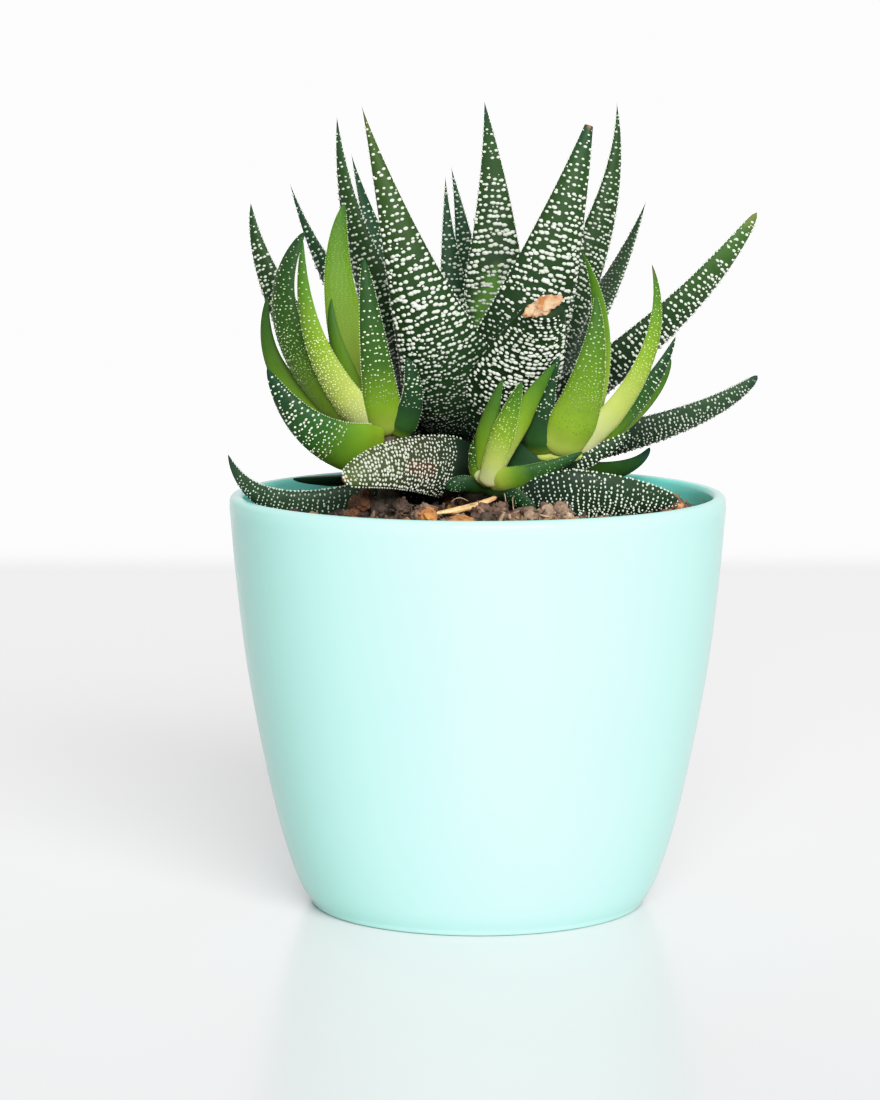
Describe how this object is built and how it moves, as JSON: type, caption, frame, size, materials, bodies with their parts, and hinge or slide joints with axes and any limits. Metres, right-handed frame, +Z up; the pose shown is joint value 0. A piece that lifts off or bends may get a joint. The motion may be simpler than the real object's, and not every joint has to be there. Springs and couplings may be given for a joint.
{
  "type": "potted haworthia",
  "caption": "Small haworthia in a glazed ceramic pot: a rosette of pointed, keeled leaves with raised white tubercles, younger offsets beside it, in bark soil.",
  "frame": {"origin": "centre of the pot's flat underside, on the surface that the pot stands on", "axes": "+Z up; -Y towards the viewer of the picture, whose right is +X"},
  "size_m": [0.0915, 0.085, 0.1375],
  "materials": {
    "glaze": "gloss",
    "soil": "matte",
    "old_leaf": "satin",
    "offset_leaf": "satin",
    "young_leaf": "satin",
    "bark": "matte",
    "dry_bark": "matte"
  },
  "bodies": {
    "root": {"pot": "glaze", "soil": "soil", "main_rosette": "old_leaf", "left_offset": "offset_leaf", "right_offset": "offset_leaf", "front_offset": "young_leaf", "bark_chip_1": "bark", "bark_chip_2": "bark", "bark_chip_3": "bark", "bark_chip_4": "bark", "bark_chip_5": "bark", "bark_chip_6": "bark", "bark_chip_7": "bark", "bark_chip_8": "bark", "bark_chip_9": "bark", "splinter": "dry_bark"}
  },
  "joints": []
}
